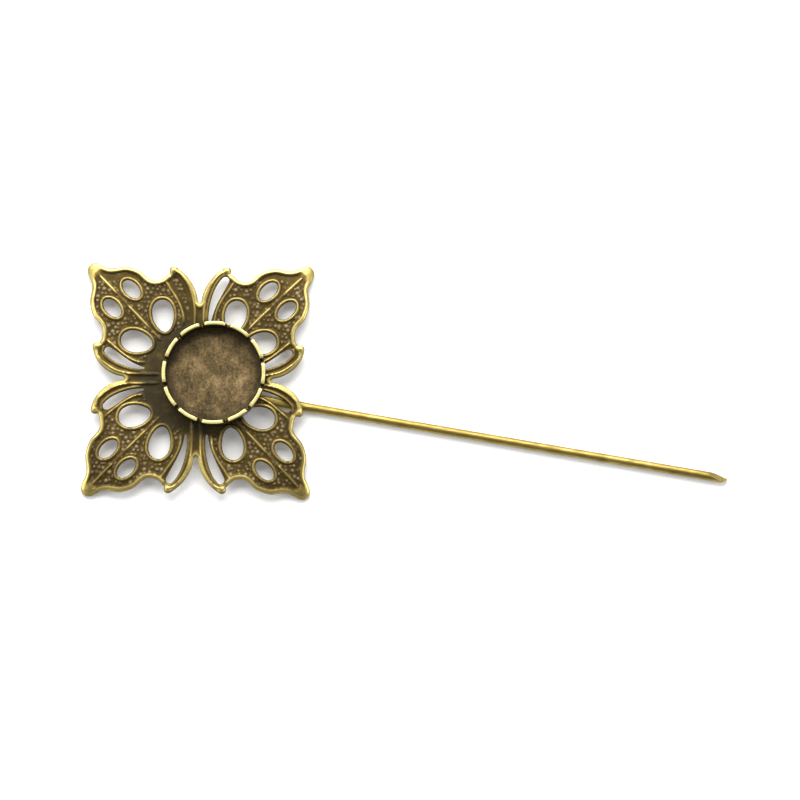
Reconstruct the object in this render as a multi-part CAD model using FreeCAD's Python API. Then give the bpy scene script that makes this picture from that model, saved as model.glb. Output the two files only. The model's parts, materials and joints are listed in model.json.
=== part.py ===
import FreeCAD, Part
import math
import os

from FreeCAD import Vector

# Hat pin with a pierced four-leaf plate, a crown-edge cup for a round stone and a straight wire stem.
# It lies face up on its stem and the four leaf tips. Millimetres, +Z up.
# The origin is the middle of the cup's floor, where the stone sits.

# Stone and cup
stone_radius = 7.0
stone_clearance = 0.1
cup_wall = 0.5
cup_base = 0.4
cup_base_round = 0.25
plain_wall_height = 1.0
rim_height = 2.6
rim_lean = 0.1
scallop_count = 12
notch_width = 0.7
notch_foot_radius = 0.18
notch_foot_height = 1.05

# Plate: the cup sits off its middle, towards the stem
plate_thickness = 0.7
cup_offset = Vector(2.55, 0.65, 0)
flat_reach = 15.5
leaf_reach = 24.1
blind_web = 0.3
# The outline below is drawn on a square; the plate is a little narrower across X and longer across Y
width_share = 0.98
length_share = 1.015

# Stem wire, with its soldered end flattened a little
wire_radius = 0.65
stem_turn = -8.9
stem_side_step = -1.19
stem_reach = 80.3
round_wire_start = 17.0
shoulder_length = 1.8
tang_start = -6.0
tang_thickness = 1.1
tang_width = 1.4
bevel_length = 3.0
bevel_land = 0.2
# The bevel faces up and to the stem's +Y side, this far from straight up
bevel_roll = 45.0

# Solder
cup_solder_thickness = 0.15
cup_solder_radius = 5.6
stem_solder_gap = 0.1
solder_foot_width = 3.2
solder_crest_width = 1.8
solder_overlap = 1.0
solder_reach = 7.4
solder_depth = 1.0
solder_end_slope = 0.8

# Heights that follow from those
cup_inner_radius = stone_radius + stone_clearance
cup_outer_radius = cup_inner_radius + cup_wall
plate_top = -cup_base - cup_solder_thickness
plate_back = plate_top - plate_thickness
wire_height = plate_back - stem_solder_gap - wire_radius
table = wire_height - wire_radius
plate_centre = Vector(-cup_offset.x, -cup_offset.y, 0)
leaf_droop = plate_back - table

# One eighth of the plate's edge, as (distance to the side of a side's middle line, distance out along it).
# The upper and lower sides have closer, longer horns than the left and right sides.
horn_inner_edge = {
    "long": [(0.30, 11.6), (0.50, 12.75), (1.30, 14.45), (2.60, 15.95), (3.85, 16.82)],
    "wide": [(0.30, 11.4), (0.58, 12.60), (1.50, 14.30), (2.90, 15.55), (4.45, 16.12)],
}
horn_tip = {"long": (4.62, 16.60), "wide": (5.22, 15.85)}
horn_outer_edge = {"long": (4.62, 15.95), "wide": (5.20, 15.20)}
leaf_corner = {"long": (5.35, 15.25), "wide": (5.75, 14.80)}
notch_depth = {"long": 11.3, "wide": 11.1}
leaf_edge = [
    (6.35, 14.72),
    (7.40, 14.72),
    (8.20, 15.20),
    (9.00, 15.95),
    (10.20, 16.52),
    (11.65, 16.78),
    (13.00, 16.58),
    (14.20, 16.60),
    (15.10, 17.02),
    (15.95, 17.36),
    (16.70, 17.32),
]
leaf_tip = leaf_reach / math.sqrt(2)

# Slot between horn and leaf: middle line and half width there
slot_line = {
    "long": [(1.60, 8.30), (1.78, 10.00), (2.40, 12.10), (3.20, 13.80), (3.85, 14.85)],
    "wide": [(1.60, 8.30), (1.90, 9.80), (2.65, 11.55), (3.50, 12.95), (4.10, 13.75)],
}
slot_half_width = [0.18, 0.38, 0.60, 0.70, 0.60]

# Openings in a leaf
petal_middle = (5.50, 9.45)
petal_length = 4.9
petal_width = 3.25
petal_lean = 11.0
petal_taper = 0.16
eye_distance = 16.85
eye_side_step = 2.02
eye_length = 3.4
eye_width = 2.05

# The four sides, as (direction out, direction to the side, horn kind)
along_x = Vector(width_share, 0, 0)
along_y = Vector(0, length_share, 0)
sides = [
    (along_y, along_x, "long"),
    (along_x, along_y, "wide"),
    (-along_y, along_x, "long"),
    (-along_x, along_y, "wide"),
]
# The slot left of the top side's middle is closed by a thin web
blind_slot = (0, -1)

# Cutters and blanks reach well past the part, and no cutter's end lies on a face that stays
above = 5.0
below = -8.0
clear = 1.0
bend_margin = 2.0
strip_half_width = 14.0


def curve(points, closed=False):
    """An edge that runs smoothly through the points."""
    line = Part.BSplineCurve()
    line.interpolate(Points=points, PeriodicFlag=closed)
    return line.toShape()


def arc(start, middle, end):
    return Part.Arc(start, middle, end).toShape()


def placed(pair, side, hand):
    """A point of one eighth of the plate, on the given side and to the given hand."""
    out, across, kind = side
    return plate_centre + across * (hand * pair[0]) + out * pair[1]


def eighth_of_edge(side, hand):
    """The plate's edge from the notch between two horns, round a horn, to a leaf's tip."""
    kind = side[2]
    inner = [placed(p, side, hand) for p in horn_inner_edge[kind]]
    notch = placed((0, notch_depth[kind]), side, hand)
    tip = placed(horn_tip[kind], side, hand)
    outer = placed(horn_outer_edge[kind], side, hand)
    corner = placed(leaf_corner[kind], side, hand)
    leaf = [corner] + [placed(p, side, hand) for p in leaf_edge]
    leaf.append(placed((leaf_tip, leaf_tip), side, hand))
    return [
        Part.LineSegment(notch, inner[0]).toShape(),
        curve(inner),
        arc(inner[-1], tip, outer),
        Part.LineSegment(outer, corner).toShape(),
        curve(leaf),
    ]


def tapered_slot(side, hand):
    """A crescent slot between a horn and its leaf, narrow towards the middle of the plate."""
    line = [Vector(a, r, 0) for a, r in slot_line[side[2]]]
    left, right = [], []
    for i, point in enumerate(line):
        along = line[min(i + 1, len(line) - 1)] - line[max(i - 1, 0)]
        normal = Vector(-along.y, along.x, 0).normalize() * slot_half_width[i]
        left.append(point + normal)
        right.append(point - normal)
    foot = line[0] - (line[1] - line[0]).normalize() * slot_half_width[0]
    head = line[-1] + (line[-1] - line[-2]).normalize() * slot_half_width[-1]

    def there(v):
        return placed((v.x, v.y), side, hand)

    edges = [
        curve([there(v) for v in left]),
        arc(there(left[-1]), there(head), there(right[-1])),
        curve([there(v) for v in reversed(right)]),
        arc(there(right[0]), there(foot), there(left[0])),
    ]
    return Part.Wire(edges)


def petal(side, hand):
    """An egg-shaped opening, broad end outwards."""
    steps = 14
    lean = math.radians(petal_lean)
    points = []
    for i in range(steps):
        turn = 2 * math.pi * i / steps
        along = petal_length / 2 * math.cos(turn)
        across = petal_width / 2 * math.sin(turn) * (1 + petal_taper * math.cos(turn))
        a = petal_middle[0] + along * math.sin(lean) + across * math.cos(lean)
        r = petal_middle[1] + along * math.cos(lean) - across * math.sin(lean)
        points.append(placed((a, r), side, hand))
    return Part.Wire([curve(points, closed=True)])


def eye(side, hand):
    """A small oval opening beside a leaf's midrib, long axis along the midrib."""
    a = (eye_distance - eye_side_step) / math.sqrt(2)
    r = (eye_distance + eye_side_step) / math.sqrt(2)
    middle = placed((a, r), side, hand)
    along = placed((a + 1, r + 1), side, hand) - middle
    oval = Part.Ellipse(Vector(), eye_length / 2, eye_width / 2).toShape()
    oval.rotate(Vector(), Vector(0, 0, 1), math.degrees(math.atan2(along.y, along.x)))
    oval.translate(middle)
    return Part.Wire([oval])


def bent_strip(turn):
    """A strip of plate along one diagonal, flat in the middle and curved down past flat_reach at each end."""
    run = leaf_reach - flat_reach
    back_radius = (run * run + leaf_droop * leaf_droop) / (2 * leaf_droop)
    top_radius = back_radius + plate_thickness
    reach = math.asin((run + bend_margin) / back_radius)
    middle_height = plate_back - back_radius

    def bend_point(hand, radius, angle):
        s = hand * (flat_reach + radius * math.sin(angle))
        return Vector(s, 0, middle_height + radius * math.cos(angle))

    edges = []
    for radius in (top_radius, back_radius):
        for hand in (-1, 1):
            ends = [bend_point(hand, radius, angle) for angle in (0, reach / 2, reach)]
            edges.append(arc(*ends))
        edges.append(
            Part.LineSegment(bend_point(-1, radius, 0), bend_point(1, radius, 0)).toShape()
        )
    for hand in (-1, 1):
        edges.append(
            Part.LineSegment(
                bend_point(hand, top_radius, reach), bend_point(hand, back_radius, reach)
            ).toShape()
        )
    outline = Part.Face(Part.Wire(Part.__sortEdges__(edges)))
    outline.translate(Vector(0, -strip_half_width, 0))
    strip = outline.extrude(Vector(0, 2 * strip_half_width, 0))
    strip.rotate(Vector(), Vector(0, 0, 1), turn)
    strip.translate(plate_centre)
    return strip


def upright(face, low, high):
    face = face.copy()
    face.translate(Vector(0, 0, low))
    return face.extrude(Vector(0, 0, high - low))


def filigree_plate():
    edges, openings, pocket = [], [], None
    for number, side in enumerate(sides):
        for hand in (-1, 1):
            edges += eighth_of_edge(side, hand)
            openings += [petal(side, hand), eye(side, hand)]
            slot = tapered_slot(side, hand)
            if (number, hand) == blind_slot:
                pocket = Part.Face(slot)
            else:
                openings.append(slot)
    outline = Part.Face(Part.Wire(Part.__sortEdges__(edges)))
    body = upright(outline, below, above)
    body = body.cut([upright(Part.Face(o), below - clear, above + clear) for o in openings])
    sheet = bent_strip(45).fuse(bent_strip(-45)).removeSplitter()
    plate = body.common(sheet)
    plate = plate.cut(upright(pocket, plate_back + blind_web, above))
    return plate.removeSplitter()


def crown_notch(angle):
    """A cutter for one notch of the crown edge: a tall V with a round foot."""
    low = notch_foot_height
    high = rim_height + clear
    foot = notch_foot_radius
    half = notch_width / 2 * (high - low) / (rim_height - low)
    corners = [
        Vector(0, -foot, low + foot),
        Vector(0, -half, high),
        Vector(0, half, high),
        Vector(0, foot, low + foot),
    ]
    edges = [Part.LineSegment(p, q).toShape() for p, q in zip(corners, corners[1:])]
    edges.append(arc(corners[-1], Vector(0, 0, low), corners[0]))
    cutter = Part.Face(Part.Wire(edges))
    cutter.translate(Vector(cup_inner_radius - clear, 0, 0))
    cutter = cutter.extrude(Vector(cup_wall + rim_lean + 2 * clear, 0, 0))
    cutter.rotate(Vector(), Vector(0, 0, 1), angle)
    return cutter


def bezel_cup():
    """A shallow tray with an upright wall, split above plain_wall_height into scallops that lean out."""
    corner = cup_base_round * (1 - math.sqrt(0.5))
    outer_foot = Vector(cup_outer_radius - cup_base_round, 0, -cup_base)
    outer_bend = Vector(cup_outer_radius - corner, 0, -cup_base + corner)
    outer_wall = Vector(cup_outer_radius, 0, -cup_base + cup_base_round)
    path = [
        outer_wall,
        Vector(cup_outer_radius, 0, plain_wall_height),
        Vector(cup_outer_radius + rim_lean, 0, rim_height),
        Vector(cup_inner_radius + rim_lean, 0, rim_height),
        Vector(cup_inner_radius, 0, plain_wall_height),
        Vector(cup_inner_radius, 0, 0),
        Vector(0, 0, 0),
        Vector(0, 0, -cup_base),
        outer_foot,
    ]
    edges = [Part.LineSegment(p, q).toShape() for p, q in zip(path, path[1:])]
    edges.append(arc(outer_foot, outer_bend, outer_wall))
    cup = Part.Face(Part.Wire(edges)).revolve(Vector(), Vector(0, 0, 1), 360)
    pitch = 360 / scallop_count
    return cup.cut([crown_notch(pitch * (i + 0.5)) for i in range(scallop_count)])


def on_stem(shape):
    """Moves a shape made along +X, from the point under the plate's middle, to the stem's line."""
    shape.rotate(Vector(), Vector(0, 0, 1), stem_turn)
    shape.translate(plate_centre + Vector(0, stem_side_step, wire_height))
    return shape


def flat_section(x, width, thickness):
    """An oval section across the wire: flat above and below, half round at the sides."""
    rise = thickness / 2
    flat = width / 2 - rise
    return Part.Wire(
        [
            arc(Vector(x, flat, -rise), Vector(x, width / 2, 0), Vector(x, flat, rise)),
            Part.LineSegment(Vector(x, flat, rise), Vector(x, -flat, rise)).toShape(),
            arc(Vector(x, -flat, rise), Vector(x, -width / 2, 0), Vector(x, -flat, -rise)),
            Part.LineSegment(Vector(x, -flat, -rise), Vector(x, flat, -rise)).toShape(),
        ]
    )


def round_section(x):
    """The wire's own round section, in four quarters that match flat_section."""
    turns = [-45, 0, 45, 90, 135, 180, 225, 270, 315]
    points = []
    for turn in turns:
        angle = math.radians(turn)
        points.append(Vector(x, wire_radius * math.cos(angle), wire_radius * math.sin(angle)))
    return Part.Wire([arc(*points[i : i + 3]) for i in (0, 2, 4, 6)])


def tang():
    """The flattened end of the wire, under the plate."""
    length = round_wire_start - shoulder_length - tang_start
    section = Part.Face(flat_section(tang_start, tang_width, tang_thickness))
    return section.extrude(Vector(length, 0, 0))


def pin_stem():
    """Round wire with a one-sided bevelled point, a short shoulder and a flattened end."""
    wire = Part.makeCylinder(
        wire_radius, stem_reach - round_wire_start, Vector(round_wire_start, 0, 0), Vector(1, 0, 0)
    )
    shoulder_start = round_wire_start - shoulder_length
    shoulder = Part.makeLoft(
        [flat_section(shoulder_start, tang_width, tang_thickness), round_section(round_wire_start)],
        True,
    )
    point = Vector(stem_reach, 0, -wire_radius + bevel_land)
    heel = Vector(stem_reach - bevel_length, 0, wire_radius)
    behind_heel = heel + Vector(0, 0, clear)
    past_point = Vector(stem_reach + clear, 0, wire_radius + clear)
    under_point = Vector(stem_reach + clear, 0, point.z)
    bevel_cut = Part.Face(Part.makePolygon([point, heel, behind_heel, past_point, under_point, point]))
    bevel_cut.translate(Vector(0, -wire_radius - clear, 0))
    bevel_cut = bevel_cut.extrude(Vector(0, 2 * (wire_radius + clear), 0))
    bevel_cut.rotate(Vector(), Vector(1, 0, 0), -bevel_roll)
    stem = wire.cut(bevel_cut).fuse([shoulder, tang()]).removeSplitter()
    return on_stem(stem)


def bead_outline(width, start, end, height):
    """A long outline with round ends, at a height over the stem's line."""
    half = width / 2
    low = Vector(start + half, -half, height)
    high = Vector(end - half, half, height)
    return Part.Wire(
        [
            Part.LineSegment(low, Vector(high.x, -half, height)).toShape(),
            arc(Vector(high.x, -half, height), Vector(end, 0, height), high),
            Part.LineSegment(high, Vector(low.x, half, height)).toShape(),
            arc(Vector(low.x, half, height), Vector(start, 0, height), low),
        ]
    )


def stem_solder():
    """The bead that holds the flattened wire to the plate's back. It wraps the wire's top and sides."""
    start = tang_start - solder_overlap
    foot = bead_outline(solder_foot_width, start, solder_reach, plate_back - wire_height)
    crest = bead_outline(
        solder_crest_width,
        start + solder_end_slope,
        solder_reach - solder_end_slope,
        plate_back - wire_height - solder_depth,
    )
    bead = Part.makeLoft([foot, crest], True)
    return on_stem(bead.cut(tang()))


def cup_solder():
    """The thin round film between the cup's base and the plate."""
    return Part.makeCylinder(cup_solder_radius, cup_solder_thickness, Vector(0, 0, plate_top))


parts = {
    "filigree_plate": filigree_plate(),
    "bezel_cup": bezel_cup(),
    "pin_stem": pin_stem(),
    "stem_solder": stem_solder(),
    "cup_solder": cup_solder(),
}

os.makedirs("parts", exist_ok=True)
for name, shape in parts.items():
    box = shape.BoundBox
    print(
        f"{name}: {len(shape.Solids)} solid, valid {shape.isValid()}, {shape.Volume:.2f} mm3,"
        f" x {box.XMin:.2f} {box.XMax:.2f}, y {box.YMin:.2f} {box.YMax:.2f}, z {box.ZMin:.2f} {box.ZMax:.2f}"
    )
    shape.exportStep(f"parts/{name}.step")
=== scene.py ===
import json
import math
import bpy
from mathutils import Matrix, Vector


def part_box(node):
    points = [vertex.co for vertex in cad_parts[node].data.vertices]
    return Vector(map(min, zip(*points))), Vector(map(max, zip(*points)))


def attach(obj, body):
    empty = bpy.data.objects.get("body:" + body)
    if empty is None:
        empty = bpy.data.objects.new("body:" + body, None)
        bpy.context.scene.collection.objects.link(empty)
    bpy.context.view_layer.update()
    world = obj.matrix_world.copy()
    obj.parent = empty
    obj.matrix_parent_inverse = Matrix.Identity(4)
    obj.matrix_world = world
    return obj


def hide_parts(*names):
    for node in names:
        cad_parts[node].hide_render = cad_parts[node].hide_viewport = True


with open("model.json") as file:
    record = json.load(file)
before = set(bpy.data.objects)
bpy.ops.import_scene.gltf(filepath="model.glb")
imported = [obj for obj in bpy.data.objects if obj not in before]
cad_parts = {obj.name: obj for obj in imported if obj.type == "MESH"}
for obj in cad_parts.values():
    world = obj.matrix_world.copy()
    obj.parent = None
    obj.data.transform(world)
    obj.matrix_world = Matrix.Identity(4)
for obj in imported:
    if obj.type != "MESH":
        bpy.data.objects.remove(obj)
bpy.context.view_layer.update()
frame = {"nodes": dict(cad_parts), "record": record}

from types import SimpleNamespace

import bpy
import numpy as np
from mathutils import Euler, Vector, noise

# Working unit of the shapes below is the millimetre. Meshes are written in metres.
MM = 0.001


def box_mm(node):
    """A CAD node's lowest and highest corners."""
    low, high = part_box(node)
    return np.array(low) / MM, np.array(high) / MM


def mount(name):
    """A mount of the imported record, by its name."""
    return next(m for m in frame["record"]["mounts"] if m["name"] == name)


plate_low, plate_high = box_mm("filigree_plate")
cup_low, cup_high = box_mm("bezel_cup")
bead_low, bead_high = box_mm("stem_solder")
film_low, film_high = box_mm("cup_solder")
stem_low = box_mm("pin_stem")[0]

plate_middle = (plate_low + plate_high)[:2] / 2
plate_top = plate_high[2]
plate_back = bead_high[2]
table = stem_low[2]
plate_thickness = plate_top - plate_back
leaf_droop = plate_back - table

# The leaves curve down past this distance from the plate's middle, measured along a leaf
flat_reach = 15.5
leaf_reach = 24.1
# The outline was drawn on a square of this half size, then stretched to the plate's own width and length
drawn_half_size = 17.4
stretch = (plate_high - plate_low)[:2] / 2 / drawn_half_size

# Relief: the pebbled ground lies this far below the plate's CAD face, and no feature rises past the overshoot
ground_depth = 0.24
overshoot = 0.02
# Rounded beads along the plate's edge, the leaf openings and the slots
edge_bead_radius = 0.42
horn_edge_share = 0.45
rim_bead_radius = 0.27
rim_height = 0.21
slot_bead_radius = 0.22
slot_bead_height = 0.168
# Each leaf ends in a dome, which blends in between these distances out along the leaf
tip_dome_radius = 1.3
tip_start, tip_full = 21.7, 22.9
# Raised lines: midribs of the leaves, ridges of the horns with a ball at each end, lines beside the slots
rib_height = 0.20
horn_ridge_height = 0.25
horn_ridge_half_width = 0.22
horn_ball_radius = 0.62
leaf_ridge_height = 0.22
leaf_ridge_half_width = 0.20
# Ridges are worked out past this distance out, within this distance to the side, and fade in at the start
ridge_from = 5.0
ridge_reach = 7.5
ridge_fade = 0.12
# Pebbles on the ground, which keep off the edges by a margin and fade in over the next stretch
pebble_pitch = 0.74
pebble_radius = 0.33
pebble_height = 0.15
pebble_jitter = 0.21
pebble_sizes = (0.60, 1.20)
pebble_tallness = (0.30, 1.0)
pebble_margin, pebble_full = 0.55, 0.75
# The plate is flat under the cup's solder, and smooth, without pebbles, for some way round it
seat_radius = 5.9
seat_slope = 0.7
smooth_centre = 7.2
smooth_fade = 1.5
centre_height = 0.05
# The closed slot is a pocket with a pebbled floor
pocket_depth = 0.14
pocket_wall = 0.25
pocket_pebble_share = 0.7
# The back shows the front's raised lines as hollows, and has a burr lip round each edge
back_hollow = 0.10
back_lip = 0.10
back_lip_width = 0.16
# Unevenness of the faces, as (size across, height): two on the front, and one on the back
front_waves = (1.6, 0.018)
front_dents = (0.35, 0.007)
back_waves = (0.9, 0.008)
# Where the finish is worn to gold near the plate's edge, and where the brightest line starts and ends
gold_band = (0.32, 0.76)
bright_start = (0.05, 0.24)
bright_end = (0.30, 0.62)
# Out from the plate's middle: the painted shade round the cup ends, the worn gold and the slots' beads begin
cup_shade_fade = (7.4, 10.4)
gold_fade = (5.0, 9.5)
slot_fade = (8.0, 9.5)
# Spacing of the plate's net
grid_step = 0.135
# A loop with less area than this share of its length squared is a slot
thin_share = 0.05

# Middle lines of the two kinds of horn, as (distance to the side, distance out)
horn_lines = {
    "long": [(0.66, 5.3), (0.70, 9.0), (0.76, 11.0), (1.12, 12.7), (1.88, 14.4), (2.95, 15.7), (4.05, 16.25)],
    "wide": [(0.66, 5.3), (0.70, 9.0), (0.80, 10.8), (1.22, 12.5), (2.08, 14.0), (3.25, 15.2), (4.70, 15.55)],
}
# Raised lines on the leaves that run beside the slots, in the same terms
leaf_lines = {
    "long": [(2.30, 7.8), (2.50, 9.9), (3.16, 11.5), (4.35, 13.3), (5.45, 14.7), (6.2, 15.0)],
    "wide": [(2.30, 7.8), (2.62, 9.6), (3.40, 11.1), (4.55, 12.6), (5.55, 13.8), (6.2, 14.5)],
}
# The slots' middle lines, which part the horns from the leaves
slot_lines = {
    "long": [(1.6, 8.3), (1.8, 10.0), (2.4, 12.1), (3.2, 13.8), (3.85, 14.85), (5.0, 15.6), (5.0, 18.0)],
    "wide": [(1.6, 8.3), (1.9, 9.8), (2.65, 11.55), (3.5, 12.95), (4.1, 13.75), (5.4, 14.9), (5.4, 18.0)],
}
# Raised ribs along the middle of each leaf: start, end, half width, share of the full height
leaf_ribs = [
    (17.6, 22.3, 0.20, 1.0),
    (10.4, 15.6, 0.22, 1.0),
    (8.0, 10.1, 0.16, 0.8),
    (9.0, 22.6, 0.20, 0.45),
]

random = np.random.default_rng(7)


def smoothstep(value, low, high):
    """0 up to low, 1 past high, and a smooth rise between."""
    t = np.clip((value - low) / (high - low), 0, 1)
    return t * t * (3 - 2 * t)


def rough(points, scale, seed):
    """Smooth noise from -1 to 1 at each 2-D point, with features about scale mm across."""
    offset = Vector((seed * 17.3, seed * 9.1, seed * 4.7))
    return np.array([noise.noise(Vector((x / scale, y / scale, 0)) + offset) for x, y in points])


# ---------------------------------------------------------------- plan outline of the plate


def edge_loops(node):
    """The closed loops of a plate node's upper edge, in plan. Each is (points, is_pocket)."""
    mesh = node.data
    co = np.empty(len(mesh.vertices) * 3)
    mesh.vertices.foreach_get("co", co)
    co = np.round(co.reshape(-1, 3) / MM, 4)
    points, index = np.unique(co, axis=0, return_inverse=True)
    index = index.ravel()
    mesh.calc_loop_triangles()
    tris = index[np.array([t.vertices[:] for t in mesh.loop_triangles])]
    normal = np.cross(points[tris[:, 1]] - points[tris[:, 0]], points[tris[:, 2]] - points[tris[:, 0]])
    up = normal[:, 2] / np.maximum(np.linalg.norm(normal, axis=1), 1e-12)
    sides = {}
    for number, tri in enumerate(tris):
        for k in range(3):
            a, b, c = tri[k], tri[(k + 1) % 3], tri[(k + 2) % 3]
            sides.setdefault((min(a, b), max(a, b)), []).append((number, c))
    upper, floor_points = {}, set()
    for (a, b), users in sides.items():
        faces = [u for u in users if up[u[0]] > 0.7]
        walls = [u for u in users if abs(up[u[0]]) < 0.3]
        if not faces or not walls:
            continue
        if points[walls[0][1]][2] > max(points[a][2], points[b][2]):
            floor_points.update((tuple(points[a][:2]), tuple(points[b][:2])))
        else:
            upper.setdefault(a, []).append(b)
            upper.setdefault(b, []).append(a)
    loops = []
    left = set(upper)
    while left:
        start = min(left)
        loop, here, before = [start], start, None
        while True:
            left.discard(here)
            onward = [n for n in upper[here] if n != before and n in left]
            if not onward:
                break
            before, here = here, onward[0]
            loop.append(here)
        plan = points[loop][:, :2]
        pocket = sum(tuple(p) in floor_points for p in plan) > len(plan) / 2
        loops.append((plan - plate_middle, pocket))
    return loops


def loop_facts(plan):
    """Perimeter and area of a closed loop."""
    following = np.roll(plan, -1, axis=0)
    length = np.linalg.norm(following - plan, axis=1).sum()
    area = abs((plan[:, 0] * following[:, 1] - plan[:, 1] * following[:, 0]).sum()) / 2
    return length, area


def nearest_on(loops, points):
    """Distance from each point to the loops, and the nearest point on them."""
    start = np.concatenate(loops)
    end = np.concatenate([np.roll(p, -1, axis=0) for p in loops])
    step = end - start
    square = np.maximum((step * step).sum(1), 1e-12)
    distance = np.empty(len(points))
    nearest = np.empty((len(points), 2))
    chunk = 2000
    for i in range(0, len(points), chunk):
        p = points[i : i + chunk]
        across = p[:, None, :] - start[None]
        t = np.clip((across * step).sum(2) / square, 0, 1)
        gap = across - t[..., None] * step
        reach = (gap * gap).sum(2)
        best = reach.argmin(1)
        rows = np.arange(len(p))
        distance[i : i + chunk] = np.sqrt(reach[rows, best])
        nearest[i : i + chunk] = p - gap[rows, best]
    return distance, nearest


def inside(loops, points):
    """Whether each point is inside an odd number of the loops."""
    start = np.concatenate(loops)
    end = np.concatenate([np.roll(p, -1, axis=0) for p in loops])
    odd = np.zeros(len(points), bool)
    chunk = 4000
    for i in range(0, len(points), chunk):
        x, y = points[i : i + chunk].T
        crosses = (start[:, 1] > y[:, None]) != (end[:, 1] > y[:, None])
        rise = np.where(end[:, 1] == start[:, 1], 1e-12, end[:, 1] - start[:, 1])
        at = start[:, 0] + (y[:, None] - start[:, 1]) / rise * (end[:, 0] - start[:, 0])
        odd[i : i + chunk] = (crosses & (x[:, None] < at)).sum(1) % 2 == 1
    return odd


# ---------------------------------------------------------------- a sheet mesh trimmed to the outline


def trimmed_sheet(loops, half_size, step):
    """A fine triangle and quad net over the plate's plan, trimmed to the loops.

    Returns plan points and faces. Points near an edge are moved onto it, so that the edge is smooth.
    """
    count = int(2 * half_size / step) + 1
    line = (np.arange(count) - (count - 1) / 2) * step
    gx, gy = np.meshgrid(line, line, indexing="ij")
    points = np.stack([gx.ravel(), gy.ravel()], 1)
    distance, nearest = nearest_on(loops, points)
    signed = np.where(inside(loops, points), distance, -distance)
    close = distance < 0.33 * step
    points[close] = nearest[close]
    signed[close] = 0
    cells = []
    for i in range(count - 1):
        for j in range(count - 1):
            a = i * count + j
            b, c, d = a + count, a + count + 1, a + 1
            if max(signed[a], signed[b], signed[c], signed[d]) <= 0:
                continue
            # The diagonal that splits a cell runs out along the leaf, as the midribs do
            cells.append((a, b, c, d) if line[i] * line[j] > 0 else (b, c, d, a))
    faces, extra, cut_at = [], [], {}

    def cut(a, b):
        key = (min(a, b), max(a, b))
        if key not in cut_at:
            t = signed[a] / (signed[a] - signed[b])
            extra.append(points[a] + (points[b] - points[a]) * t)
            cut_at[key] = len(points) + len(extra) - 1
        return cut_at[key]

    for a, b, c, d in cells:
        if min(signed[a], signed[b], signed[c], signed[d]) >= 0:
            faces.append((a, b, c, d))
            continue
        for tri in ((a, b, c), (a, c, d)):
            if max(signed[k] for k in tri) <= 0:
                continue
            shape = []
            for k in range(3):
                here, there = tri[k], tri[(k + 1) % 3]
                if signed[here] >= 0:
                    shape.append(here)
                if signed[here] * signed[there] < 0:
                    shape.append(cut(here, there))
            if len(shape) >= 3:
                faces.append(tuple(shape))
    made = np.array(extra)
    made = nearest_on(loops, made)[1]
    points = np.concatenate([points, made])
    used = sorted({k for f in faces for k in f})
    number = {k: n for n, k in enumerate(used)}
    return points[used], [tuple(number[k] for k in f) for f in faces]


def open_edges(faces):
    """Directed edges that only one face uses."""
    seen = {}
    for face in faces:
        for k in range(len(face)):
            a, b = face[k], face[(k + 1) % len(face)]
            key = (min(a, b), max(a, b))
            seen[key] = None if key in seen else (a, b)
    return [e for e in seen.values() if e]


# ---------------------------------------------------------------- relief of the plate


def bead(distance, radius):
    """Half-round bead from 0 to 1 whose crest is one radius in from the edge."""
    return np.sqrt(np.clip(1 - ((distance - radius) / radius) ** 2, 0, 1))


def leaf_frame(points):
    """Distance out along the nearest leaf, and to the side of its midrib."""
    x, y = np.abs(points / stretch).T
    return (x + y) / math.sqrt(2), (y - x) / math.sqrt(2)


def sag(along, thickness_above_back):
    """How far the sheet has curved down at a distance along a leaf."""
    run = leaf_reach - flat_reach
    radius = (run * run + leaf_droop * leaf_droop) / (2 * leaf_droop) + thickness_above_back
    past = np.clip(along - flat_reach, 0, None)
    return radius - np.sqrt(radius * radius - past * past)


def resample(points, count):
    """A smooth line through the points, as count points."""
    points = np.array(points, float)
    knots = np.concatenate([[0], np.cumsum(np.linalg.norm(np.diff(points, axis=0), axis=1))])
    slopes = np.gradient(points, knots, axis=0)
    at = np.linspace(0, knots[-1], count)
    k = np.clip(np.searchsorted(knots, at, side="right") - 1, 0, len(points) - 2)
    span = (knots[k + 1] - knots[k])[:, None]
    t = (at - knots[k])[:, None] / span
    return (
        (2 * t**3 - 3 * t**2 + 1) * points[k]
        + (t**3 - 2 * t**2 + t) * span * slopes[k]
        + (3 * t**2 - 2 * t**3) * points[k + 1]
        + (t**3 - t**2) * span * slopes[k + 1]
    )


def folded_sides(points):
    """For each kind of side: its name, and points as (distance to the side's middle, distance out)."""
    across, out = np.abs(points / stretch).T
    return (("long", np.stack([across, out], 1)), ("wide", np.stack([out, across], 1)))


def line_ridges(points, lines, half_width, ball_radius):
    """Height of ridges along the lines, from 0 to 1, with a ball at each outer end if it has a radius."""
    ridge = np.zeros(len(points))
    for kind, folded in folded_sides(points):
        line = resample(lines[kind], 240)
        near = (folded[:, 1] > ridge_from) & (folded[:, 0] < ridge_reach)
        gaps = np.linalg.norm(folded[near][:, None] - line[None], axis=2)
        along = gaps.argmin(1) / (len(line) - 1)
        height = np.exp(-((gaps.min(1) / half_width) ** 2))
        height = height * smoothstep(along, 0.0, ridge_fade)
        if ball_radius:
            ball = np.sqrt(np.clip(1 - (gaps[:, -1] / ball_radius) ** 2, 0, 1))
            height = np.maximum(height, ball)
        else:
            height = height * (1 - smoothstep(along, 0.85, 1.0))
        ridge[near] = np.maximum(ridge[near], height)
    return ridge


def on_horns(points):
    """1 on the horns, 0 on the leaves."""
    share = np.zeros(len(points))
    for kind, folded in folded_sides(points):
        line = np.array(slot_lines[kind])
        border = np.interp(folded[:, 1], line[:, 1], line[:, 0])
        share = np.maximum(share, (folded[:, 0] < border) & (folded[:, 1] > line[0, 1] - 1))
    return share


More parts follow.
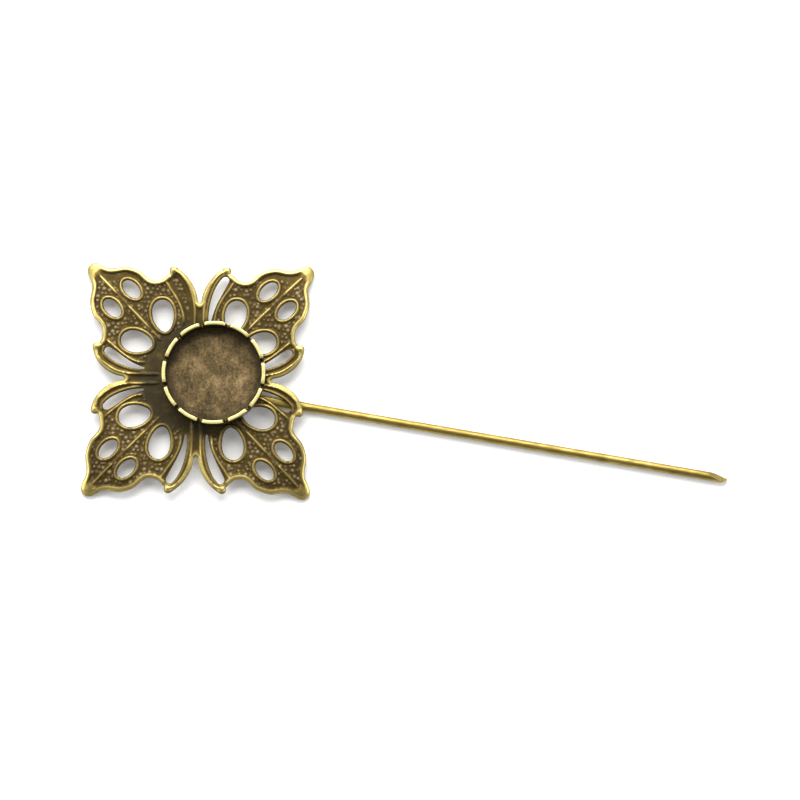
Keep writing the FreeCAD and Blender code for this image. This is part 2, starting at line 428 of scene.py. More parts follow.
def pebbles(points, where):
    """Small round bumps scattered on the ground, from 0 to 1."""
    width = 36
    rows = int(width / pebble_pitch)
    centres = []
    for i in range(rows):
        for j in range(rows):
            x = (i - rows / 2 + 0.5 * (j % 2)) * pebble_pitch
            y = (j - rows / 2) * pebble_pitch * 0.87
            centres.append((x, y))
    centres = np.array(centres) + random.uniform(-pebble_jitter, pebble_jitter, (len(centres), 2))
    size = random.uniform(*pebble_sizes, len(centres))
    high = random.uniform(*pebble_tallness, len(centres))
    cell = pebble_radius * 2.2
    buckets = {}
    for n, c in enumerate(centres):
        buckets.setdefault((int(c[0] // cell), int(c[1] // cell)), []).append(n)
    height = np.zeros(len(points))
    for n in np.nonzero(where)[0]:
        x, y = points[n]
        ci, cj = int(x // cell), int(y // cell)
        best = 0.0
        for i in (ci - 1, ci, ci + 1):
            for j in (cj - 1, cj, cj + 1):
                for m in buckets.get((i, j), ()):
                    reach = math.hypot(x - centres[m][0], y - centres[m][1]) / (pebble_radius * size[m])
                    if reach < 1:
                        best = max(best, high[m] * (1 - reach * reach))
        height[n] = best
    return height


def ribs(points):
    """The leaves' midribs: thin spindles, from 0 to 1."""
    along, aside = leaf_frame(points)
    height = np.zeros(len(points))
    for start, end, half, share in leaf_ribs:
        t = np.clip((along - start) / (end - start), 0, 1)
        width = half * np.sqrt(np.clip(4 * t * (1 - t), 0, 1)) + 0.03
        shape = np.exp(-((aside / width) ** 2)) * smoothstep(4 * t * (1 - t), 0.0, 0.35)
        height = np.maximum(height, shape * share)
    return height


def tube_faces(rows, around):
    """Faces that join rows of points, each row a closed ring."""
    faces = []
    for n in range(rows - 1):
        for k in range(around):
            m = (k + 1) % around
            faces.append((n * around + k, n * around + m, (n + 1) * around + m, (n + 1) * around + k))
    return faces


def make_mesh(name, points, faces, body="root", replaces=(), sharp_deg=38, attributes=None):
    """A shown piece from points in millimetres."""
    mesh = bpy.data.meshes.new(name)
    mesh.from_pydata((np.asarray(points) * MM).tolist(), [], [tuple(map(int, f)) for f in faces])
    mesh.validate()
    mesh.shade_smooth()
    mesh.set_sharp_from_angle(angle=math.radians(sharp_deg))
    for key, values in (attributes or {}).items():
        layer = mesh.attributes.new(key, "FLOAT", "POINT")
        layer.data.foreach_set("value", np.asarray(values, np.float32))
    piece = bpy.data.objects.new(name, mesh)
    bpy.context.scene.collection.objects.link(piece)
    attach(piece, body)
    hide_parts(*replaces)
    return piece


def measure_plate():
    """The plate's net in plan, and how far each of its points is from the edges of each kind."""
    loops = edge_loops(frame["nodes"]["filigree_plate"])
    facts = [loop_facts(p) for p, _ in loops]
    outer = max(range(len(loops)), key=lambda i: facts[i][0])
    thin = [area / length**2 < thin_share for length, area in facts]
    outline = [p for p, is_pocket in loops if not is_pocket]
    pocket = [p for p, is_pocket in loops if is_pocket]
    edges = [p for i, (p, _) in enumerate(loops) if thin[i] or i == outer]
    slots = [p for i, (p, is_pocket) in enumerate(loops) if thin[i] and i != outer and not is_pocket]
    holes = [p for i, (p, _) in enumerate(loops) if not thin[i] and i != outer]
    half_size = max((plate_high - plate_low)[:2]) / 2 + 2 * grid_step
    plan, faces = trimmed_sheet(outline, half_size, grid_step)
    return SimpleNamespace(
        plan=plan,
        faces=faces,
        to_edge=nearest_on(edges, plan)[0],
        to_slot=nearest_on(slots, plan)[0],
        to_hole=nearest_on(holes, plan)[0],
        to_outer=nearest_on([loops[outer][0]], plan)[0],
        to_pocket=nearest_on(pocket, plan)[0],
        in_pocket=inside(pocket, plan),
        radius=np.linalg.norm(plan, axis=1),
        along=leaf_frame(plan)[0],
        diagonal=np.abs(plan).sum(1) / math.sqrt(2),
    )


def add_features(plate):
    """Adds each feature of the relief to the plate's measures, from 0 to 1 at each point."""
    plan = plate.plan
    from_cup = np.linalg.norm(plan + plate_middle, axis=1)
    plate.seat = 1 - smoothstep(from_cup, seat_radius, seat_radius + seat_slope)
    plate.centre = 1 - smoothstep(plate.radius, smooth_centre, smooth_centre + smooth_fade)
    plate.horns = on_horns(plan)
    plate.leaves = 1 - plate.horns
    plate.tip = smoothstep(plate.along, tip_start, tip_full)
    dome = bead(np.minimum(plate.to_outer, tip_dome_radius), tip_dome_radius)
    plate.edge = bead(plate.to_outer, edge_bead_radius) * (1 - plate.tip) + dome * plate.tip
    slot_bead = bead(plate.to_slot, slot_bead_radius) * plate.horns
    plate.slot_bead = slot_bead * smoothstep(plate.radius, *slot_fade)
    plate.rim = bead(plate.to_hole, rim_bead_radius)
    plate.horn = line_ridges(plan, horn_lines, horn_ridge_half_width, horn_ball_radius)
    plate.leaf_line = line_ridges(plan, leaf_lines, leaf_ridge_half_width, 0) * plate.leaves
    plate.rib = ribs(plan)
    off_edges = smoothstep(plate.to_edge, pebble_margin, pebble_full)
    off_holes = smoothstep(plate.to_hole, pebble_margin, pebble_full)
    ground = off_edges * off_holes * plate.leaves
    ground = ground * (1 - plate.centre) * (1 - plate.rib) * (1 - plate.tip)
    ground = ground * (1 - np.clip(plate.leaf_line * 2, 0, 1))
    plate.deep = np.where(plate.in_pocket, smoothstep(plate.to_pocket, 0.0, pocket_wall), 0)
    ground = np.maximum(ground, plate.deep * pocket_pebble_share)
    plate.pebble = pebbles(plan, ground > 0.05) * ground


def front_height(plate):
    """Height of the plate's upper face at each point."""
    waves = rough(plate.plan, front_waves[0], 1) * front_waves[1]
    uneven = waves + rough(plate.plan, front_dents[0], 2) * front_dents[1]
    height = np.maximum.reduce(
        [
            plate.edge * ground_depth * np.where(plate.horns > 0, horn_edge_share, 1.0),
            plate.rim * rim_height,
            plate.horn * horn_ridge_height,
            plate.slot_bead * slot_bead_height,
            plate.leaf_line * leaf_ridge_height,
            plate.rib * rib_height,
            plate.seat * ground_depth,
            plate.pebble * pebble_height,
            plate.centre * centre_height,
        ]
    )
    height = height + uneven * (1 - plate.seat)
    height = np.minimum(height, ground_depth + overshoot)
    pocket_floor = plate.pebble * pebble_height - pocket_depth
    height = height * (1 - plate.deep) + pocket_floor * plate.deep
    return plate_top - ground_depth + height - sag(plate.diagonal, plate_thickness)


def back_height(plate):
    """Height of the plate's lower face at each point. It stays flat where the solder is."""
    lines = plate.edge * 0.5 + plate.rib + (plate.horn + plate.leaf_line) * 0.6
    hollow = np.clip(lines, 0, 1) * smoothstep(plate.to_edge, 0.0, 0.25) * (1 - plate.seat)
    lip = 1 - smoothstep(np.minimum(plate.to_edge, plate.to_hole), 0.0, back_lip_width)
    waves = (rough(plate.plan, back_waves[0], 3) + 1) * back_waves[1]
    uneven = waves * (1 - plate.seat)
    return plate_back + back_hollow * hollow + back_lip * lip + uneven - sag(plate.diagonal, 0)


def plate_wear(plate):
    """Where the plate's finish is worn to gold or pebbled, and where painted shade darkens it round the cup,
    for its material. The back is even.
    """
    band = 1 - smoothstep(plate.to_outer, *gold_band)
    worn_edge = smoothstep(plate.to_outer, 0.0, 0.20)
    gold = np.maximum.reduce(
        [
            band * plate.leaves * (0.45 + 0.55 * worn_edge),
            band * plate.horns * 0.45,
            plate.tip * 0.85,
            plate.leaf_line**2 * 0.9,
            plate.horn**2 * 0.95,
            plate.slot_bead * 0.5,
            plate.rib**2 * 0.95,
            plate.rim**3 * 0.8,
        ]
    )
    gold = gold * smoothstep(plate.radius, *gold_fade) * (1 - plate.seat)
    bright_edge = 0.15 + 0.85 * smoothstep(plate.to_outer, *bright_start)
    bright_edge = bright_edge * (1 - smoothstep(plate.to_outer, *bright_end)) * (1 - plate.centre)
    # Painted shade: the plate darkens round the cup, where the cup's shade falls
    cup_shade_mask = 1 - smoothstep(plate.radius, *cup_shade_fade)
    none = np.zeros(len(plate.plan))
    return {
        "gold": np.concatenate([gold, none + 0.35]),
        "pebble": np.concatenate([plate.pebble, none]),
        "edge_gold": np.concatenate([bright_edge, none]),
        "centre": np.concatenate([cup_shade_mask, none]),
    }


def make_plate():
    """The pierced plate: front and back faces on one net, joined along every edge."""
    plate = measure_plate()
    add_features(plate)
    here = plate.plan + plate_middle
    front = np.column_stack([here, front_height(plate)])
    back = np.column_stack([here, back_height(plate)])
    count = len(here)
    shell = list(plate.faces)
    shell += [tuple(k + count for k in reversed(f)) for f in plate.faces]
    for a, b in open_edges(plate.faces):
        shell.append((b, a, a + count, b + count))
    return make_mesh(
        "filigree_relief",
        np.concatenate([front, back]),
        shell,
        replaces=["filigree_plate"],
        attributes=plate_wear(plate),
    )


# ---------------------------------------------------------------- cup

cup_inner = mount("cabochon_seat")["dims"]["r_mm"]
plain_height = mount("cabochon_seat")["dims"]["length_mm"]
cup_wall = 0.5
cup_rim = cup_high[2]
cup_base = cup_low[2]
cup_outer = cup_inner + cup_wall
rim_lean = cup_high[0] - cup_inner - cup_wall
base_round = 0.25
crown_lip = 0.11
scallops = 12
notch_bottom = plain_height + 0.06
notch_foot = 0.17
notch_half_width = 0.34
scallop_corner = 0.45
scallop_shoulder = cup_rim - 0.42
# The rounded corner between wall and floor, as (radius, height), and the rings of the floor inside it
floor_corner = ((7.08, 0.06), (7.02, 0.02), (6.9, 0.0), (6.5, 0.0))
floor_radii = (5.8, 5.0, 4.2, 3.4, 2.6, 1.8, 1.0, 0.4)
dented_radius = 6.9


def scallop_top(gap):
    """Height of the crown edge at a distance from the middle of the nearest notch."""
    if gap < notch_foot:
        return notch_bottom + notch_foot - math.sqrt(max(notch_foot**2 - gap * gap, 0))
    if gap < notch_half_width:
        t = (gap - notch_foot) / (notch_half_width - notch_foot)
        low = notch_bottom + notch_foot
        return low + (scallop_shoulder - low) * t
    t = min((gap - notch_half_width) / scallop_corner, 1)
    return scallop_shoulder + (cup_rim - scallop_shoulder) * math.sqrt(max(1 - (1 - t) ** 2, 0))


def cup_columns():
    """The cup's upright lines: turn, distance to the nearest notch, and its scallop's own lean and drop."""
    middle_radius = cup_inner + cup_wall / 2
    half_pitch = math.pi / scallops * middle_radius
    gaps = [0, 0.07, 0.12, 0.155, notch_foot, 0.2, 0.24, 0.28, 0.31, notch_half_width]
    gaps += [notch_half_width + scallop_corner * t for t in (0.04, 0.12, 0.25, 0.42, 0.65, 1.0)]
    gaps += [0.95, 1.15, 1.35, 1.6, half_pitch]
    columns = []
    for s in range(scallops):
        lean = random.uniform(-0.05, 0.05)
        drop = random.uniform(-0.05, 0.0)
        start = (s - 0.5) * 2 * math.pi / scallops
        for g in gaps[:-1]:
            columns.append((start + g / middle_radius, g, lean, drop))
        for g in reversed(gaps[1:]):
            columns.append((start + (2 * half_pitch - g) / middle_radius, g, lean, drop))
    return columns


def flared(column, share, side):
    """A point of the leaning wall: share of the way to its top, on the inner (0) or outer (1) side."""
    _, gap, lean, drop = column
    top = scallop_top(gap) + drop * smoothstep(gap, notch_foot, 0.6)
    z = plain_height + (top - plain_height) * share
    out = (rim_lean + lean * smoothstep(gap, notch_foot, 0.8)) * (z - plain_height)
    return cup_inner + side * cup_wall + out / (cup_rim - plain_height), z


def cup_rings(columns):
    """The cup's section as rings of (radius, height), from under its middle, over the crown, to its floor."""
    rings = [[(r, cup_base)] * len(columns) for r in (2.0, 4.5, 6.6, cup_outer - base_round)]
    for turn in (math.pi / 8 * k for k in range(1, 5)):
        r = cup_outer - base_round * (1 - math.sin(turn))
        z = cup_base + base_round * (1 - math.cos(turn))
        rings.append([(r, z)] * len(columns))
    for t in (0.35, 0.7, 1.0):
        z = cup_base + base_round + (plain_height - cup_base - base_round) * t
        rings.append([(cup_outer, z)] * len(columns))
    wall_shares = (0.25, 0.5, 0.72, 0.88)
    for share in wall_shares:
        rings.append([flared(c, share, 1) for c in columns])
    quarter = [math.radians(a) for a in (0, 30, 60, 90)]
    for side, inwards, turns in ((1, -1, quarter), (0, 1, quarter[::-1])):
        for turn in turns:
            ring = []
            for c in columns:
                r, z = flared(c, 1.0, side)
                r += inwards * crown_lip * (1 - math.cos(turn))
                ring.append((r, z - crown_lip * (1 - math.sin(turn))))
            rings.append(ring)
    for share in wall_shares[::-1] + (0.0,):
        rings.append([flared(c, share, 0) for c in columns])
    for z in (0.6, 0.3, 0.12):
        rings.append([(cup_inner, z)] * len(columns))
    for r, z in floor_corner:
        rings.append([(r, z)] * len(columns))
    for r in floor_radii:
        rings.append([(r, 0.0)] * len(columns))
    return rings


def make_cup():
    """The crown-edge cup: rings over its base, wall, crown and dented floor, closed at both middles."""
    columns = cup_columns()
    rings = cup_rings(columns)
    count = len(columns)
    points = []
    for ring in rings:
        for (turn, *_), (r, z) in zip(columns, ring):
            points.append((r * math.cos(turn), r * math.sin(turn), z))
    faces = tube_faces(len(rings), count)
    under, over = len(points), len(points) + 1
    points += [(0, 0, cup_base), (0, 0, 0)]
    last = (len(rings) - 1) * count
    for i in range(count):
        j = (i + 1) % count
        faces.append((under, j, i))
        faces.append((over, last + i, last + j))
    points = np.array(points)
    radius = np.linalg.norm(points[:, :2], axis=1)
    on_floor = (points[:, 2] > -0.01) & (points[:, 2] < 0.05) & (radius < dented_radius)
    dents = rough(points[:, :2], 2.6, 5) * 0.03 + rough(points[:, :2], 0.8, 6) * 0.01
    points[:, 2] += np.where(on_floor, np.clip(dents - 0.02, -0.06, 0.0), 0)
    crest = smoothstep(points[:, 2], cup_rim - 0.9, cup_rim - 0.05)
    low_inside = (points[:, 2] < 0.3) & (points[:, 2] > -0.2) & (radius < cup_inner + 0.01)
    floor = np.where(low_inside, 1.0, 0.0)
    # Where painted shade darkens the floor, in its corner by the wall
    corner = floor * smoothstep(radius, 5.6, 7.0)
    return make_mesh(
        "crown_cup",
        points,
        faces,
        replaces=["bezel_cup"],
        sharp_deg=45,
        attributes={"crest": crest, "floor": floor, "corner": corner},
    )


# ---------------------------------------------------------------- stem

stem_mount = mount("pin_stem")
wire_radius = stem_mount["dims"]["r_mm"]
stem_axis = np.array(stem_mount["axis"])
stem_axis = stem_axis / np.linalg.norm(stem_axis)
stem_side = np.array([-stem_axis[1], stem_axis[0], 0])
stem_point = np.array(stem_mount["pos_m"]) / MM
# The stem's own zero is level with the plate's middle
middle_3d = np.array([plate_middle[0], plate_middle[1], stem_point[2]])
stem_zero = stem_point + stem_axis * float((middle_3d - stem_point) @ stem_axis)
stem_end = 80.3
tang_start = -6.0
shoulder = (15.2, 17.0)
tang_half = (0.70, 0.55)
# Its sides are fuller than an ellipse by this much, and its end is rounded over a short stretch
tang_fullness = 0.55
tang_end_round = 0.5
bevel_start = stem_end - 3.0
bevel_land = 0.2
bevel_roll = math.radians(45)
# The point narrows, thins and turns up over its last stretch
hook_length = 0.9
hook_rise = 0.30
hook_lift_share = 0.4
point_narrowing = 0.72
point_thinning = 0.35


def stem_place(u, v, w):
    """Points along, beside and above the stem's line."""
    return stem_zero + np.outer(u, stem_axis) + np.outer(v, stem_side) + np.outer(w, [0, 0, 1])


def stem_stations():
    """Where the stem's rings are: closer together at its shoulder and at its point."""
    stations = list(np.linspace(tang_start, shoulder[0], 46))
    stations += list(np.linspace(shoulder[0], shoulder[1], 10)[1:])
    before_bevel = bevel_start - 0.4
    stations += list(np.linspace(shoulder[1], before_bevel, 240)[1:])
    stations += list(np.linspace(before_bevel, stem_end, 60)[1:])
    return stations


def stem_ring(u, around):
    """A ring of the stem: (beside, above, whether on the bevel) for each of its points."""
    flat = 1 - float(smoothstep(np.array(u), *shoulder))
    from_end = 1 - min((u - tang_start) / tang_end_round, 1)
    end = min(1.0, 0.55 + 0.45 * math.sqrt(max(0, 1 - from_end**2)))
    half_v = (wire_radius + (tang_half[0] - wire_radius) * flat) * end
    half_w = (wire_radius + (tang_half[1] - wire_radius) * flat) * end
    power = 1 + tang_fullness * flat
    wobble = 0.006 * noise.noise(Vector((u * 0.9, 3.1, 0)))
    slope = (wire_radius * 2 - bevel_land) / (stem_end - bevel_start)
    ceiling = wire_radius - slope * max(0.0, u - bevel_start)
    hook = hook_rise * max(0.0, (u - stem_end) / hook_length + 1) ** 2
    near_point = float(smoothstep(np.array(u), stem_end - hook_length, stem_end))
    half_v *= 1 - point_narrowing * near_point
    half_w *= 1 - point_thinning * near_point
    ring = []
    for k in range(around):
        a = 2 * math.pi * k / around
        c, s = math.cos(a), math.sin(a)
        v = math.copysign(abs(c) ** (1 / power), c) * half_v
        w = math.copysign(abs(s) ** (1 / power), s) * half_w
        dent = 0.007 * noise.noise(Vector((u * 1.7, c * 1.2, s * 1.2)))
        above = v * math.sin(bevel_roll) + w * math.cos(bevel_roll) - ceiling
        off = max(above, 0.0)
        v += dent - off * math.sin(bevel_roll) + hook
        w += dent + wobble - off * math.cos(bevel_roll) + hook * hook_lift_share
        ring.append((v, max(w, -wire_radius), float(u > bevel_start + 0.05 and off > 0)))
    return ring


def make_stem():
    """The drawn wire, from its flattened end to its bevelled point."""
    around = 48
    stations = stem_stations()
    table_of_points = []
    for u in stations:
        table_of_points += [(u,) + point for point in stem_ring(u, around)]
    u_all, v_all, w_all, bevel_all = np.array(table_of_points).T
    rows = len(stations)
    faces = [tuple(reversed(f)) for f in tube_faces(rows, around)]
    faces.append(tuple(range(around)))
    faces.append(tuple(reversed(range((rows - 1) * around, rows * around))))
    return make_mesh(
        "stem_wire",
        stem_place(u_all, v_all, w_all),
        faces,
        replaces=["pin_stem"],
        sharp_deg=32,
        attributes={"bevel": bevel_all},
    )


# ---------------------------------------------------------------- solder


# The bead's ends along the stem, and half its width where it meets the plate
bead_start, bead_end = -7.0, 7.4
bead_half_foot = 1.6
# The film under the cup: narrowing at each share of its height, and how far its edge wanders in
film_hollow = [(0.0, 1.00), (0.25, 0.975), (0.5, 0.965), (0.75, 0.975), (1.0, 1.0)]
film_wander = 0.025


def make_stem_solder():
    """A frozen bead: wide and lumpy at the plate, drawn up to the wire's sides, with wavy ends."""
    rows, around = 90, 40
    depth = bead_high[2] - bead_low[2]
    table_of_points, faces = [], []
    for n in range(rows):
        t = n / (rows - 1)
        u = bead_start + (bead_end - bead_start) * t
        swell = math.sqrt(max(0.0, 1 - abs(2 * t - 1) ** 5)) + 0.02
        width = bead_half_foot * swell * (1 + 0.10 * noise.noise(Vector((u * 0.6, 1.7, 0))))
        for k in range(around):
            c = math.cos(math.pi * k / (around - 1))
            lump = 0.05 * noise.noise(Vector((u * 0.9, c * 1.5, 4.2)))
            w = -depth * swell * (1 - abs(c)) ** 0.75 * (1 + 1.1 * lump)
            table_of_points.append((u, c * width, plate_back - stem_zero[2] + min(w, 0)))
    for n in range(rows - 1):
        for k in range(around - 1):
            a = n * around + k
            faces.append((a, a + around, a + around + 1, a + 1))
        a, b = n * around, n * around + around - 1
        faces.append((a, b, b + around, a + around))
    faces.append(tuple(range(around)))
    faces.append(tuple(reversed(range((rows - 1) * around, rows * around))))
    return make_mesh(
        "solder_bead",
        stem_place(*np.array(table_of_points).T),
        faces,
        replaces=["stem_solder"],
        sharp_deg=60,
    )


def make_cup_solder():
    """The film under the cup, with an uneven hollow edge."""
    around = 160
    film_radius = film_high[0]
    low, high = film_low[2], film_high[2]
    points = []
    for share, narrow in film_hollow:
        for k in range(around):
            a = 2 * math.pi * k / around
            wave = noise.noise(Vector((math.cos(a) * 2.2, math.sin(a) * 2.2, 8.0)))
            r = film_radius * narrow * (1 - film_wander + film_wander * wave)
            points.append((r * math.cos(a), r * math.sin(a), low + (high - low) * share))
    rows = len(film_hollow)
    faces = tube_faces(rows, around)
    faces.append(tuple(reversed(range(around))))
    faces.append(tuple(range((rows - 1) * around, rows * around)))
    return make_mesh(
        "solder_film", points, faces, replaces=["cup_solder"], sharp_deg=50
    )


# ---------------------------------------------------------------- materials


class Nodes:
    """A material's node tree, with short calls to add and join nodes."""

    def __init__(self, name):
        self.material = bpy.data.materials.new(name)
        self.material.use_nodes = True
        self.tree = self.material.node_tree
        self.tree.nodes.clear()
        self.out = self.add("ShaderNodeOutputMaterial")
        self.shader = self.add("ShaderNodeBsdfPrincipled")
        self.link(self.shader.outputs["BSDF"], self.out.inputs["Surface"])
        self.place = self.add("ShaderNodeTexCoord").outputs["Object"]

    def add(self, kind, **settings):
        node = self.tree.nodes.new(kind)
        for key, value in settings.items():
            setattr(node, key, value)
        return node

    def link(self, source, target):
        self.tree.links.new(source, target)

    def put(self, socket, value):
        if isinstance(value, bpy.types.NodeSocket):
            self.link(value, socket)
        else:
            socket.default_value = value

    def noise(self, size, detail=3.0, roughness=0.55, stretch=None):
        """Noise whose features are about size millimetres across."""
        node = self.add("ShaderNodeTexNoise")
        node.inputs["Scale"].default_value = 1 / (size * MM)
        node.inputs["Detail"].default_value = detail
        node.inputs["Roughness"].default_value = roughness
        place = self.place
        if stretch:
            mapping = self.add("ShaderNodeMapping")
            mapping.inputs["Rotation"].default_value = stretch[0]
            mapping.inputs["Scale"].default_value = stretch[1]
            self.link(place, mapping.inputs["Vector"])
            place = mapping.outputs["Vector"]
        self.link(place, node.inputs["Vector"])
        return node.outputs["Fac"]

    def attribute(self, name):
        return self.add("ShaderNodeAttribute", attribute_name=name).outputs["Fac"]

    def math(self, operation, a, b=0.0, clamp=False):
        node = self.add("ShaderNodeMath", operation=operation, use_clamp=clamp)
        self.put(node.inputs[0], a)
        self.put(node.inputs[1], b)
        return node.outputs[0]

    def ramp(self, value, stops):
        """A smooth ramp of colours or grey values at positions from 0 to 1."""
        node = self.add("ShaderNodeValToRGB")
        elements = node.color_ramp.elements
        while len(elements) < len(stops):
            elements.new(0.5)
        for element, (position, colour) in zip(elements, stops):
            element.position = position
            element.color = (colour,) * 3 + (1,) if isinstance(colour, float) else tuple(colour) + (1,)
        self.link(value, node.inputs["Fac"])
        return node.outputs["Color"]

    def mix(self, share, a, b):
        node = self.add("ShaderNodeMix", data_type="RGBA")
        self.put(node.inputs["Factor"], share)
        self.put(node.inputs["A"], a if isinstance(a, bpy.types.NodeSocket) else tuple(a) + (1,))
        self.put(node.inputs["B"], b if isinstance(b, bpy.types.NodeSocket) else tuple(b) + (1,))
        return node.outputs["Result"]

    def bump(self, height, strength, distance):
        node = self.add("ShaderNodeBump")
        node.inputs["Strength"].default_value = strength
        node.inputs["Distance"].default_value = distance * MM
        self.link(height, node.inputs["Height"])
        self.link(node.outputs["Normal"], self.shader.inputs["Normal"])


# Colours, in linear light
patina = (0.060, 0.041, 0.012)
umber = (0.134, 0.094, 0.029)
bronze = (0.225, 0.168, 0.052)
gold = (0.460, 0.350, 0.105)
pale_gold = (0.660, 0.545, 0.190)
tray_dark = (0.032, 0.027, 0.015)
tray_brown = (0.122, 0.084, 0.036)
tray_light = (0.310, 0.217, 0.108)
rim_gold = (0.760, 0.670, 0.270)
wire_dark = (0.160, 0.108, 0.020)
wire_brass = (0.310, 0.228, 0.060)
wire_gold = (0.460, 0.365, 0.130)
pebble_tan = (0.300, 0.235, 0.135)
# Painted shade on the plate round the cup
centre_shade_colour = (0.034, 0.029, 0.018)
# Painted shade for the cup floor's corner
tray_corner_shade = (0.024, 0.018, 0.010)
solder_grey = (0.170, 0.135, 0.070)
solder_light = (0.320, 0.270, 0.160)
paper_low = (0.90, 0.90, 0.895)
paper_high = (0.93, 0.93, 0.925)


def plate_material():
    """Antique brass: dark in the hollows, gold where the edges and raised lines are worn, and darker round
    the cup from painted shade.
    """
    n = Nodes("antique_brass_plate")
    relief = n.attribute("gold")
    pebble = n.attribute("pebble")
    blotch = n.noise(1.7, 4.0)
    speck = n.noise(0.22, 2.0)
    worn = n.math("ADD", relief, n.math("MULTIPLY", n.math("SUBTRACT", blotch, 0.5), 0.60))
    worn = n.math("ADD", worn, n.math("MULTIPLY", n.math("SUBTRACT", speck, 0.5), 0.35), clamp=True)
    colour = n.ramp(worn, [(0.0, patina), (0.28, umber), (0.62, bronze), (0.95, gold)])
    colour = n.mix(n.ramp(pebble, [(0.15, 0.0), (0.80, 0.75)]), colour, pebble_tan)
    edge = n.math("MULTIPLY", n.attribute("edge_gold"), n.ramp(worn, [(0.10, 0.2), (0.6, 1.0)]))
    colour = n.mix(n.math("MULTIPLY", edge, 0.85), colour, pale_gold)
    # Painted shade round the cup, mottled by the blotches
    dark = n.math("MULTIPLY", n.attribute("centre"), n.ramp(blotch, [(0.35, 0.95), (0.68, 0.35)]))
    colour = n.mix(dark, colour, centre_shade_colour)
    n.link(colour, n.shader.inputs["Base Color"])
    n.link(n.ramp(worn, [(0.1, 0.93), (0.7, 1.0)]), n.shader.inputs["Metallic"])
    gloss = n.math("ADD", worn, n.math("MULTIPLY", speck, 0.25))
    n.link(n.ramp(gloss, [(0.1, 0.60), (1.0, 0.32)]), n.shader.inputs["Roughness"])
    n.bump(n.math("ADD", n.noise(0.12, 3.0), n.math("MULTIPLY", n.noise(0.5, 3.0), 1.2)), 0.45, 0.02)
    return n.material


def cup_material():
    """The wall goes pale gold towards its crest. The floor is blotched brown, with painted shade darkest in
    its corner by the wall.
    """
    n = Nodes("antique_brass_cup")
    crest = n.attribute("crest")
    floor = n.attribute("floor")
    blotch = n.noise(2.8, 5.0, 0.6)
    grain = n.noise(0.35, 3.0)
    streak = n.noise(1.1, 4.0, 0.65, stretch=((0, 0, 0.5), (2.0, 0.8, 1.0)))
    height = n.math("ADD", crest, n.math("MULTIPLY", n.math("SUBTRACT", grain, 0.5), 0.4))
    wall = n.ramp(height, [(0.0, umber), (0.45, bronze), (0.95, rim_gold)])
    shade = n.math("ADD", n.math("MULTIPLY", blotch, 0.85), n.math("MULTIPLY", streak, 0.30))
    shade = n.math("ADD", shade, n.math("MULTIPLY", n.math("SUBTRACT", grain, 0.5), 0.35))
    tray = n.ramp(shade, [(0.38, tray_dark), (0.58, tray_brown), (0.80, tray_light)])
    # Painted shade: the floor darkens in its corner by the wall
    tray = n.mix(n.math("MULTIPLY", n.attribute("corner"), 0.8), tray, tray_corner_shade)
    n.link(n.mix(floor, wall, tray), n.shader.inputs["Base Color"])
    metal = n.ramp(crest, [(0.3, 1.0), (0.9, 0.55)])
    n.link(n.mix(floor, metal, (0.85, 0.85, 0.85)), n.shader.inputs["Metallic"])
    sheen = n.math("ADD", n.math("MULTIPLY", grain, 0.25), 0.22)
    n.link(n.math("ADD", n.math("MULTIPLY", floor, 0.20), sheen), n.shader.inputs["Roughness"])
    n.bump(n.math("ADD", grain, n.math("MULTIPLY", streak, 0.8)), 0.35, 0.02)
    return n.material


def stem_material():
    """Brass wire, with fine lines along it from the drawing."""
    n = Nodes("antique_brass_wire")
    blotch = n.noise(2.2, 4.0)
    draw_lines = ((0, 0, -math.atan2(stem_axis[1], stem_axis[0])), (0.08, 1.0, 1.0))
    grain = n.noise(0.20, 2.0, 0.5, stretch=draw_lines)
    tone = n.math("ADD", n.math("MULTIPLY", blotch, 0.6), n.math("MULTIPLY", grain, 0.5))
    colour = n.ramp(tone, [(0.30, wire_dark), (0.55, wire_brass), (0.80, wire_gold)])
    colour = n.mix(n.math("MULTIPLY", n.attribute("bevel"), 0.3), colour, bronze)
    n.link(colour, n.shader.inputs["Base Color"])
    n.shader.inputs["Metallic"].default_value = 1.0
    n.link(n.ramp(tone, [(0.2, 0.50), (0.9, 0.38)]), n.shader.inputs["Roughness"])
    n.bump(grain, 0.30, 0.012)
    return n.material


def solder_material():
    """Solder under a dull, grainy plating."""
    n = Nodes("plated_solder")
    blotch = n.noise(1.2, 4.0)
    grain = n.noise(0.25, 3.0)
    tone = n.math("ADD", n.math("MULTIPLY", blotch, 0.7), n.math("MULTIPLY", grain, 0.3))
    colour = n.ramp(tone, [(0.3, umber), (0.55, solder_grey), (0.8, solder_light)])
    n.link(colour, n.shader.inputs["Base Color"])
    n.link(n.ramp(grain, [(0.3, 0.55), (0.8, 0.36)]), n.shader.inputs["Roughness"])
    n.shader.inputs["Metallic"].default_value = 0.9
    n.bump(n.math("ADD", grain, n.noise(0.6, 3.0)), 0.5, 0.03)
    return n.material


def paper_material():
    """White paper, with a faint glow that keeps it pale."""
    n = Nodes("white_paper")
    tone = n.ramp(n.noise(3.0, 2.0), [(0.3, paper_low), (0.7, paper_high)])
    n.link(tone, n.shader.inputs["Base Color"])
    n.shader.inputs["Roughness"].default_value = 0.9
    n.shader.inputs["Specular IOR Level"].default_value = 0.2
    n.shader.inputs["Emission Color"].default_value = (1.0, 1.0, 1.0, 1.0)
    n.shader.inputs["Emission Strength"].default_value = 0.10
    return n.material


# ---------------------------------------------------------------- stage, light, camera


def make_stage():
    """A flat floor, level with the pin's lowest point."""
    half = 900.0
    corners = [(-half, -half, table), (half, -half, table), (half, half, table), (-half, half, table)]
    mesh = bpy.data.meshes.new("floor")
    mesh.from_pydata([tuple(c * MM for c in p) for p in corners], [], [(0, 1, 2, 3)])
    floor = bpy.data.objects.new("floor", mesh)
    floor.data.materials.append(paper_material())
    bpy.context.scene.collection.objects.link(floor)


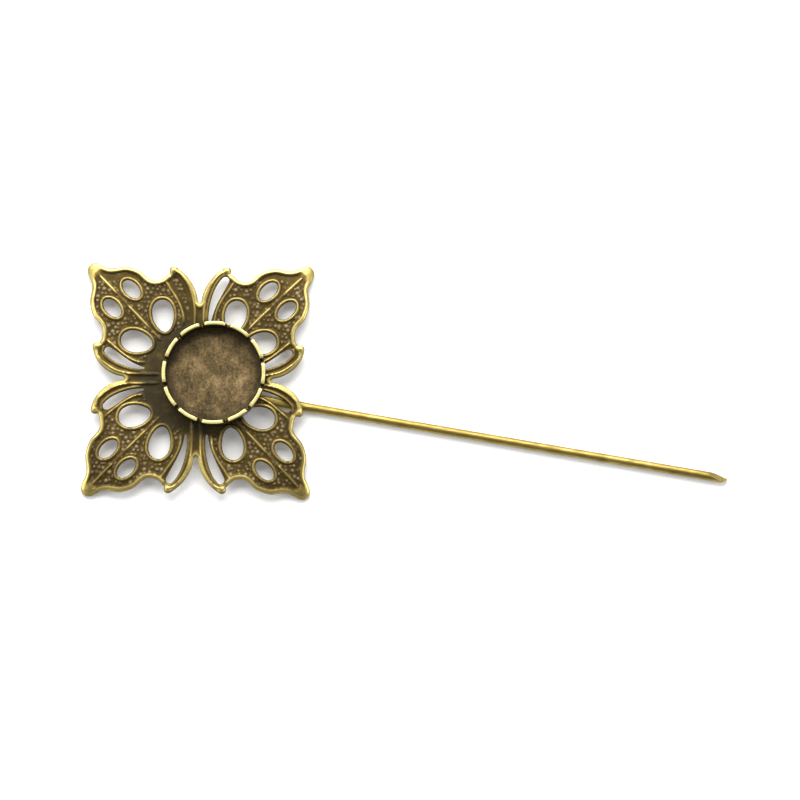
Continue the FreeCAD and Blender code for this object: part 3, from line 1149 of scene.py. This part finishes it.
def area_light(name, place, aim, size, power, colour=(1, 1, 1)):
    """A soft rectangular light at a place, turned to the aim. Lengths are in millimetres."""
    data = bpy.data.lights.new(name, "AREA")
    data.shape = "RECTANGLE"
    data.size, data.size_y = size[0] * MM, size[1] * MM
    data.energy = power
    data.color = colour
    lamp = bpy.data.objects.new(name, data)
    lamp.location = Vector(place) * MM
    lamp.rotation_euler = (Vector(aim) - Vector(place)).to_track_quat("-Z", "Y").to_euler()
    bpy.context.scene.collection.objects.link(lamp)


def make_light():
    """A large key light behind the pin, a weaker fill on each side, and an even white surround."""
    world = bpy.data.worlds.new("studio")
    world.use_nodes = True
    background = world.node_tree.nodes["Background"]
    background.inputs["Color"].default_value = (1.0, 1.0, 1.0, 1)
    background.inputs["Strength"].default_value = 0.32
    bpy.context.scene.world = world
    head = (0, 0, 0)
    area_light("key", (-40, 420, 370), head, (620, 560), 7.0, (1.0, 0.985, 0.96))
    area_light("fill_left", (-400, -20, 240), head, (260, 320), 0.8)
    area_light("fill_right", (450, -20, 260), (40, 0, 0), (260, 320), 0.8)
    bpy.context.scene.view_settings.view_transform = "Standard"


# Width seen at the plate, and how far the picture's middle is from the plate's middle
picture_width = 119.2
aim_from_plate = (30.2, -3.13)
camera_distance = 460.0
# Degrees: the camera's tilt from straight down, and its turn about the vertical
camera_tilt = 8.3
camera_roll = 0.92


def make_camera():
    """A long-lens camera above the pin, tilted a little from straight down."""
    data = bpy.data.cameras.new("camera")
    data.sensor_width = 36.0
    data.lens = data.sensor_width * camera_distance / picture_width
    data.clip_start, data.clip_end = 0.01, 10.0
    camera = bpy.data.objects.new("camera", data)
    roll, tilt = math.radians(camera_roll), math.radians(camera_tilt)
    x, y = aim_from_plate
    aim = Vector(
        (
            plate_middle[0] + x * math.cos(roll) - y * math.sin(roll),
            plate_middle[1] + x * math.sin(roll) + y * math.cos(roll),
            plate_top,
        )
    )
    turned = Euler((tilt, 0, roll), "XYZ")
    back = turned.to_matrix() @ Vector((0, 0, 1))
    camera.location = (aim + back * camera_distance) * MM
    camera.rotation_euler = turned
    bpy.context.scene.collection.objects.link(camera)
    bpy.context.scene.camera = camera


make_camera()
make_light()
make_stage()
plate = make_plate()
cup = make_cup()
stem = make_stem()
bead_piece = make_stem_solder()
film = make_cup_solder()
plate.data.materials.append(plate_material())
cup.data.materials.append(cup_material())
stem.data.materials.append(stem_material())
solder = solder_material()
bead_piece.data.materials.append(solder)
film.data.materials.append(solder)
